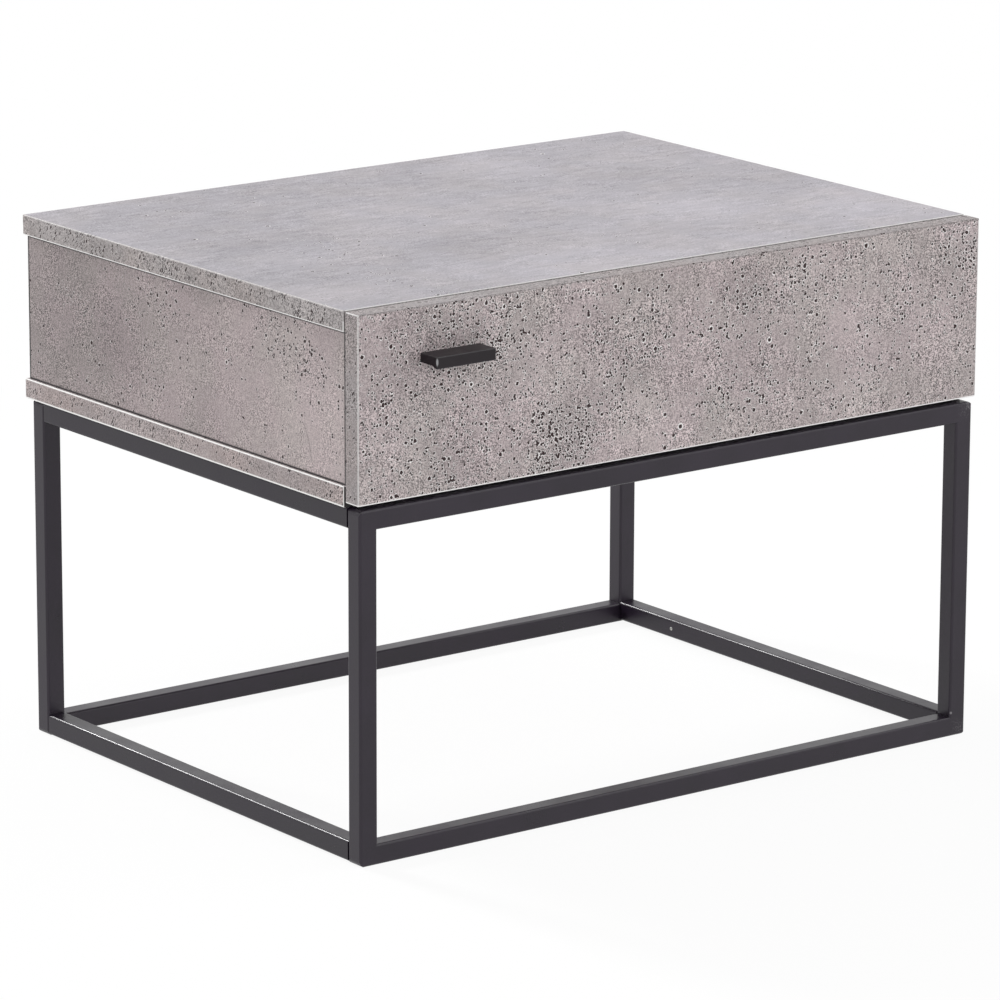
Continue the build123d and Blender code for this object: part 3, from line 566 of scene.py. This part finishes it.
# The largest tones are painted light and shade: darker towards the rear, lighter towards the front.
side_tones = (
    (side_x, 0.19, 0.36, 0.15, -0.27),
    (side_x, 0.02, 0.36, 0.14, -0.06),
    (side_x, 0.1, 0.335, 0.06, -0.07),
    (side_x, 0.0, 0.39, 0.05, -0.07),
    (side_x, -0.06, 0.311, 0.05, 0.09),
    (side_x, -0.13, 0.34, 0.08, 0.08),
    (side_x, -0.2, 0.32, 0.12, 0.19),
)
brush_upright = (1.0, 1.0, 0.22)
side_scratch = {"centre": (side_x, -0.1054, 0.2978), "radius": 0.0473, "top": 0.33, "foot": 0.298}
facing_side = {"Across": (0.0, 1.0, 0.0), "Up": (0.0, 0.0, 1.0)}
facing_front = {"Across": (1.0, 0.0, 0.0), "Up": (0.0, 0.0, 1.0)}
lay_on(
    make_faced_board(
        "concrete print, left side panel", (0.5, 0.11, 0.27),
        {
            "Ground": (0.377, 0.314, 0.318, 1.0), "Warmth": (0.356, 0.309, 0.303, 1.0), **facing_side,
            "Brush": (1.5, 1.5, 0.9), "Strokes": 1.8,
            "Clouds": 0.5, "Grain": 1.0, "Pits": 0.05, "Rim Glint": 0.55,
        },
        crowds=side_crowds, tones=side_tones, singles=side_singles,
        shade_seam="side_panel_left", scratch=side_scratch,
    ),
    "side_panel_left",
)
lay_on(
    make_faced_board(
        "concrete print, right side panel", (0.9, 0.43, 0.66),
        {
            "Ground": warm_ground, "Warmth": warm_patch, "Brush": brush_upright, **facing_side,
            "Clouds": 0.9, "Grain": 0.95, "Pits": 0.12,
        },
        shade_seam="side_panel_right",
    ),
    "side_panel_right",
)
lay_on(
    make_faced_board(
        "concrete print, back panel", (0.07, 0.29, 0.83),
        {
            "Ground": warm_ground, "Warmth": warm_patch, "Brush": brush_upright, **facing_front,
            "Clouds": 0.9, "Grain": 0.95, "Pits": 0.1,
        },
    ),
    "back_panel",
)
lay_on(
    make_edging(
        "edging, side panels", "side_panel_edging", (0.37, 0.21, 0.09),
        ground=(0.365, 0.338, 0.332, 1.0), pits=0.24,
        shares={"left_top": 0.5, "top": 0.5, "foot": 0.5}, gap_shade=0.6,
    ),
    "side_panel_edging",
)
lay_on(zinc_finish, "body_cam_locks", "body_cam_bolts")

beech_pale = (0.62, 0.43, 0.26, 1.0)
beech_dark = (0.46, 0.29, 0.16, 1.0)


def make_beech_finish():
    beech, tree, surface, place = new_finish("beech dowel", {"Roughness": 0.6})
    fibres = vector(tree, "MULTIPLY", place, (1.0, 1.0, 0.08))
    grain = cloud(tree, fibres, 1500.0, 3.0, 0.6)
    feed(tree, surface, {"Base Color": tint(tree, spread(tree, grain), beech_pale, beech_dark)})
    relief(tree, surface, grain, 0.0001)
    return beech


lay_on(make_beech_finish(), "body_dowels")

# ---------------------------------------------------------------- top board
# The same board as the bottom one, lying face up, where the print is lighter and calmer: wide brush marks,
# cool and warm clouds, and only a few pits.

# Places on its upper face, each (x, y, z, radius, share).
top_z = 0.422
top_crowds = (
    (-0.17, -0.02, top_z, 0.07, 0.08),
    (-0.2, -0.12, top_z, 0.05, 0.06),
    (0.03, -0.1, top_z, 0.03, 0.08),
    (-0.2, -0.2, top_z, 0.03, 0.1),
)
# The largest tones are painted light and shade: darker to the left and rear, lighter to the right and front.
top_tones = (
    (-0.22, 0.0, top_z, 0.2, -0.07),
    (0.2, -0.15, top_z, 0.25, 0.06),
    (-0.02, 0.2, top_z, 0.16, -0.12),
    (-0.2, 0.17, top_z, 0.13, -0.12),
    (-0.07, 0.09, top_z, 0.05, 0.08),
    (-0.115, 0.02, top_z, 0.05, 0.08),
    (-0.21, -0.03, top_z, 0.07, 0.08),
    (-0.24, 0.03, top_z, 0.05, -0.07),
    (-0.07, -0.06, top_z, 0.09, -0.12),
    (-0.17, -0.09, top_z, 0.05, -0.06),
    (0.12, 0.17, top_z, 0.07, 0.1),
    (0.2, 0.055, top_z, 0.08, -0.1),
    (0.135, -0.06, top_z, 0.09, 0.12),
    (0.26, -0.14, top_z, 0.12, 0.12),
    (-0.25, -0.16, top_z, 0.08, 0.08),
    (-0.05, -0.17, top_z, 0.12, 0.14),
    (-0.14, -0.13, top_z, 0.06, 0.1),
    (0.1, -0.19, top_z, 0.06, 0.1),
)
lay_on(
    make_faced_board(
        "concrete print, top board", (0.2, 0.6, 0.4),
        {
            "Ground": (0.341, 0.323, 0.354, 1.0), "Warmth": (0.356, 0.332, 0.354, 1.0), **lying,
            "Brush": (0.2, 0.65, 1.0), "Strokes": 2.4,
            "Clouds": 0.45, "Grain": 0.45, "Pits": 0.006,
        },
        crowds=top_crowds, tones=top_tones,
    ),
    "top_panel",
)
lay_on(
    make_edging(
        "edging, top board", "top_panel_edging", (0.71, 0.33, 0.17),
        ground=(0.335, 0.308, 0.306, 1.0), pits=0.36,
        shares={"left_top": 0.3, "top": 0.95, "foot": 1.0}, gap_shade=0.3,
    ),
    "top_panel_edging",
)

# ---------------------------------------------------------------- closing pads and body runners
# Soft clear pads on the side panels' front ends take the drawer front's knock. The channels are folded
# from 1.2 mm steel and coated white, with a nylon wheel riveted on at the front, and zinc screws.
pad_clear = (0.7, 0.71, 0.7, 1.0)
pad_milky = (0.58, 0.59, 0.57, 1.0)
coat_white = (0.78, 0.78, 0.76, 1.0)
coat_rubbed = (0.5, 0.49, 0.47, 1.0)
nylon_white = (0.74, 0.73, 0.69, 1.0)
nylon_stained = (0.6, 0.59, 0.55, 1.0)


def make_pad_finish():
    pad, tree, surface, place = new_finish("soft clear pad", {"IOR": 1.45, "Coat Weight": 0.2})
    milky = cloud(tree, place, 500.0)
    colour = tint(tree, spread(tree, milky), pad_clear, pad_milky)
    feed(tree, surface, {"Base Color": colour, "Roughness": spread(tree, milky, 0.4, 0.55)})
    relief(tree, surface, milky, 0.00005)
    return pad


def make_runner_coat():
    coat, tree, surface, place = new_finish("white epoxy coat", {})
    skin = use(tree, powder_skin, {"Place": place, "Colour": coat_white, "Dimples": 800.0, "Gloss": 0.32})
    rubbed = soft_step(tree, cloud(tree, place, 60.0, 4.0, 0.7), 0.62, 0.78, 0.0, 0.5)
    colour = tint(tree, rubbed, skin["Colour"], coat_rubbed)
    feed(tree, surface, {"Base Color": colour, "Roughness": skin["Roughness"]})
    relief(tree, surface, skin["Height"], 0.00006)
    return coat


def make_nylon_finish():
    nylon, tree, surface, place = new_finish("white nylon", {})
    rolled = cloud(tree, place, 260.0, 3.0, 0.6)
    colour = tint(tree, soft_step(tree, rolled, 0.4, 0.75), nylon_white, nylon_stained)
    feed(tree, surface, {"Base Color": colour, "Roughness": spread(tree, rolled, 0.36, 0.5)})
    relief(tree, surface, rolled, 0.00005)
    return nylon


runner_coat = make_runner_coat()
nylon_finish = make_nylon_finish()
lay_on(make_pad_finish(), "closing_pads")
lay_on(runner_coat, "body_runner_left", "body_runner_right")
lay_on(zinc_finish, "body_runner_screws", "front_wheel_pins")
lay_on(nylon_finish, "front_wheel_left", "front_wheel_right")

# ---------------------------------------------------------------- drawer box
# Sides and back of 12 mm chipboard faced with plain grey melamine, with a thin hardboard floor in a
# groove. Cams hold the sides to the drawer front, and countersunk screws hold them to the back.
melamine_grey = (0.37, 0.36, 0.352, 1.0)
hardboard_grey = (0.36, 0.35, 0.34, 1.0)


def make_melamine_finish():
    plain, tree, surface, place = new_finish("plain grey melamine", {})
    drawn_up = vector(tree, "MULTIPLY", place, (1.0, 1.0, 0.35))
    weave = cloud(tree, drawn_up, 700.0, 2.0, 0.6)
    patch = cloud(tree, place, 18.0, 3.0)
    shade = plus(tree, spread(tree, patch, 0.93, 1.06), spread(tree, weave, -0.05, 0.05))
    colour = tint(tree, 1.0, melamine_grey, shade, "MULTIPLY")
    feed(tree, surface, {"Base Color": colour, "Roughness": spread(tree, weave, 0.42, 0.54)})
    relief(tree, surface, weave, 0.00005)
    return plain


def make_hardboard_finish():
    floor_sheet, tree, surface, place = new_finish("printed hardboard", {})
    drawn_back = vector(tree, "MULTIPLY", place, (1.0, 0.3, 1.0))
    fibre = cloud(tree, drawn_back, 420.0, 4.0, 0.7)
    patch = cloud(tree, place, 25.0, 3.0)
    shade = plus(tree, spread(tree, patch, 0.94, 1.05), spread(tree, fibre, -0.08, 0.07))
    colour = tint(tree, 1.0, hardboard_grey, shade, "MULTIPLY")
    feed(tree, surface, {"Base Color": colour, "Roughness": spread(tree, fibre, 0.5, 0.66)})
    relief(tree, surface, fibre, 0.00008)
    return floor_sheet


lay_on(make_melamine_finish(), "drawer_side_left", "drawer_side_right", "drawer_back")
lay_on(make_hardboard_finish(), "drawer_floor")
lay_on(zinc_finish, "drawer_cam_locks", "drawer_cam_bolts", "drawer_back_screws")

# ---------------------------------------------------------------- drawer front
# One board over the whole front of the body, with the richest part of the print: crowds of dark pits
# round the handle, low in the middle, and in a darker band that climbs to the right.

# Places on its front face. Crowds of pits and tones are (x, y, z, radius, share), and single pits are
# (x, y, z, radius).
front_y = -0.2158
front_crowds = (
    (-0.2, front_y, 0.36, 0.14, 0.24),
    (-0.178, front_y, 0.385, 0.035, 0.75),
    (-0.165, front_y, 0.411, 0.025, 0.4),
    (-0.215, front_y, 0.366, 0.04, 0.35),
    (-0.23, front_y, 0.337, 0.035, 0.3),
    (-0.262, front_y, 0.395, 0.02, 0.3),
    (-0.115, front_y, 0.302, 0.045, 1.1),
    (-0.06, front_y, 0.335, 0.04, 0.45),
    (0.03, front_y, 0.372, 0.025, 0.35),
    (0.035, front_y, 0.315, 0.025, 0.35),
    (0.082, front_y, 0.314, 0.025, 0.4),
    (0.11, front_y, 0.397, 0.03, 0.35),
    (0.135, front_y, 0.342, 0.025, 0.3),
    (0.07, front_y, 0.39, 0.03, 0.25),
    (0.29, front_y, 0.403, 0.03, 0.6),
    (0.18, front_y, 0.315, 0.02, 0.25),
)
front_singles = (
    (0.0016, front_y, 0.296, 0.0017),
    (0.0882, front_y, 0.3519, 0.0016),
    (0.0304, front_y, 0.3683, 0.0015),
    (-0.197, front_y, 0.3563, 0.0014),
    (-0.1669, front_y, 0.4111, 0.0013),
    (0.1088, front_y, 0.3909, 0.0011),
    (0.1544, front_y, 0.3761, 0.0011),
    (0.1354, front_y, 0.3429, 0.001),
)
front_tones = (
    (-0.275, front_y, 0.38, 0.04, -0.13),
    (-0.24, front_y, 0.402, 0.05, -0.13),
    (-0.19, front_y, 0.375, 0.05, -0.08),
    (-0.21, front_y, 0.294, 0.04, -0.14),
    (-0.11, front_y, 0.295, 0.03, -0.16),
    (-0.072, front_y, 0.384, 0.03, -0.14),
    (-0.085, front_y, 0.322, 0.035, -0.12),
    (-0.03, front_y, 0.35, 0.05, -0.12),
    (0.067, front_y, 0.394, 0.035, -0.17),
    (0.06, front_y, 0.332, 0.035, -0.08),
    (0.27, front_y, 0.385, 0.05, -0.1),
    (0.215, front_y, 0.345, 0.035, -0.07),
    (-0.125, front_y, 0.357, 0.035, 0.14),
    (-0.265, front_y, 0.322, 0.035, 0.08),
    (-0.09, front_y, 0.417, 0.03, 0.1),
    (-0.03, front_y, 0.297, 0.05, 0.1),
    (0.13, front_y, 0.41, 0.03, 0.1),
    (0.17, front_y, 0.357, 0.035, 0.1),
    (0.18, front_y, 0.292, 0.03, 0.12),
    (0.26, front_y, 0.345, 0.04, 0.07),
    (0.205, front_y, 0.412, 0.03, 0.08),
)
lay_on(
    make_faced_board(
        "concrete print, drawer front", (0.0, 0.0, 0.0),
        {
            "Ground": (0.414, 0.35, 0.355, 1.0), "Warmth": (0.39, 0.344, 0.338, 1.0), "Brush": brush_upright,
            **facing_front, "Clouds": 0.4, "Grain": 1.25, "Pits": 0.19,
        },
        crowds=front_crowds, tones=front_tones, singles=front_singles,
    ),
    "drawer_front",
)
lay_on(
    make_edging(
        "edging, drawer front", "drawer_front_edging", (0.53, 0.47, 0.61),
        ground=(0.283, 0.257, 0.259, 1.0), pits=0.16, foot=0.0014,
    ),
    "drawer_front_edging",
)

# ---------------------------------------------------------------- handle
# One pressed and coated bar, screwed on from inside. Matt black with a fine grain, rubbed a little smoother
# along its arrises, which are paler with a painted highlight, and with a painted glint at its front left
# corner.
handle_low, handle_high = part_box("handle")
handle_black = (0.0122, 0.0085, 0.0112, 1.0)
arris_highlight_grey = (0.1, 0.1, 0.105, 1.0)
corner_glint_bright = (0.42, 0.42, 0.43, 1.0)
corner_glint_z = handle_high.z - 0.0037
corner_glint_reach = 0.0016
corner_glint_squash = 0.4


def make_handle_finish():
    coat, tree, surface, place = new_finish("matt black handle coat", {"Specular IOR Level": 0.25})
    skin = use(tree, powder_skin, {"Place": place, "Colour": handle_black, "Dimples": 1300.0, "Gloss": 0.42})
    line = arris(tree, place, "handle", width=0.0011)
    # Paler along the arrises: a painted highlight.
    colour = tint(tree, times(tree, line, 0.3), skin["Colour"], arris_highlight_grey)
    # A painted glint on the rounded front left corner.
    squashed = vector(tree, "MULTIPLY", place, (1.0, 1.0, corner_glint_squash))
    corner = vector(tree, "DISTANCE", squashed, (handle_low.x, handle_low.y, corner_glint_z * corner_glint_squash))
    corner_glint = soft_step(tree, corner, corner_glint_reach / 2, corner_glint_reach, 0.75, 0.0)
    colour = tint(tree, corner_glint, colour, corner_glint_bright)
    smoother = calc(tree, "SUBTRACT", skin["Roughness"], times(tree, line, 0.1))
    feed(tree, surface, {"Base Color": colour, "Roughness": smoother})
    relief(tree, surface, skin["Height"], 0.00005)
    return coat


lay_on(make_handle_finish(), "handle")
lay_on(zinc_finish, "handle_screws")

# ---------------------------------------------------------------- drawer runners
# The matching halves on the drawer box: folded L-sections in the same white coat, with a nylon wheel
# riveted on at the rear of each.
lay_on(runner_coat, "drawer_runner_left", "drawer_runner_right")
lay_on(zinc_finish, "drawer_runner_screws", "rear_wheel_pins")
lay_on(nylon_finish, "rear_wheel_left", "rear_wheel_right")

# ---------------------------------------------------------------- room
# A pale floor that fades into a white surround. Large soft boxes stand above, in front and to the left,
# and a small strong one behind draws the bright lines along the rails.
floor_reach = 30.0
shadow_start = 0.4
shadow_end = 1.3
floor_pale = (0.95, 0.95, 0.95, 1.0)
white = (1.0, 1.0, 1.0, 1.0)
table_middle = (0.0, 0.0, 0.25)


def make_floor():
    """The floor. It glows white to the camera and in reflections, and keeps some of the table's shadow."""
    shape = bmesh.new()
    bmesh.ops.create_grid(shape, x_segments=1, y_segments=1, size=floor_reach)
    mesh = bpy.data.meshes.new("floor")
    shape.to_mesh(mesh)
    shape.free()
    floor = bpy.data.objects.new("floor", mesh)
    bpy.context.scene.collection.objects.link(floor)
    shader = {"Roughness": 0.9, "Specular IOR Level": 0.0, "Base Color": floor_pale}
    pale, tree, surface, place = new_finish("pale studio floor", shader)
    seen = put(tree, "LightPath", {}, {})
    glow = put(tree, "Emission", {}, {"Color": white, "Strength": 1.0})[0]
    away = vector(tree, "LENGTH", place)
    shown = calc(tree, "MAXIMUM", seen["Is Camera Ray"], seen["Is Glossy Ray"])
    share = times(tree, shown, soft_step(tree, away, shadow_start, shadow_end, 0.92, 1.0))
    lit = tree.nodes["Principled BSDF"].outputs[0]
    mixed = put(tree, "MixShader", {}, {0: share, 1: lit, 2: glow})[0]
    tree.links.new(mixed, tree.nodes["Material Output"].inputs["Surface"])
    mesh.materials.append(pale)


make_floor()


def make_surround():
    """White to the camera, in reflections and through clear pieces, and half as strong as a light."""
    world = bpy.data.worlds.new("white surround")
    bpy.context.scene.world = world
    world.use_nodes = True
    tree = world.node_tree
    seen = put(tree, "LightPath", {}, {})
    shown = calc(tree, "MAXIMUM", seen["Is Glossy Ray"], seen["Is Transmission Ray"])
    shown = calc(tree, "MAXIMUM", seen["Is Camera Ray"], shown)
    background = tree.nodes["Background"].inputs
    background["Color"].default_value = white
    feed(tree, background, {"Strength": plus(tree, 0.5, times(tree, shown, 0.5))})


make_surround()


def make_soft_box(name, place, size, power):
    lamp = bpy.data.lights.new(name, "AREA")
    lamp.shape = "SQUARE"
    lamp.size = size
    lamp.energy = power
    box = bpy.data.objects.new(name, lamp)
    box.location = place
    box.rotation_euler = (Vector(table_middle) - Vector(place)).to_track_quat("-Z", "Y").to_euler()
    bpy.context.scene.collection.objects.link(box)


make_soft_box("overhead box", (1.8, -0.9, 2.7), size=2.2, power=24.0)
make_soft_box("front box", (1.2, -4.0, 1.4), size=2.4, power=31.0)
make_soft_box("left box", (-3.4, -2.2, 1.5), size=2.2, power=19.0)
make_soft_box("rear box", (-0.75, 3.3, 2.4), size=0.7, power=125.0)

# ---------------------------------------------------------------- camera
# A long lens on a 36 mm wide sensor, well back, to the front left of the table and a little above it.
# Its angles are in radians: it turns to the right, looks down, and is a touch out of level.
stand = (-2.73645, -3.62264, 1.35223)
turn = 0.6456
drop = 0.2498
roll = 0.0034
lens = bpy.data.cameras.new("camera")
lens.sensor_width = 36.0
lens.lens = 212.6
camera = bpy.data.objects.new("camera", lens)
camera.matrix_world = (
    Matrix.Translation(stand)
    @ Matrix.Rotation(-turn, 4, "Z")
    @ Matrix.Rotation(math.pi / 2 - drop, 4, "X")
    @ Matrix.Rotation(roll, 4, "Z")
)
bpy.context.scene.collection.objects.link(camera)
bpy.context.scene.camera = camera
bpy.context.scene.view_settings.view_transform = "Standard"
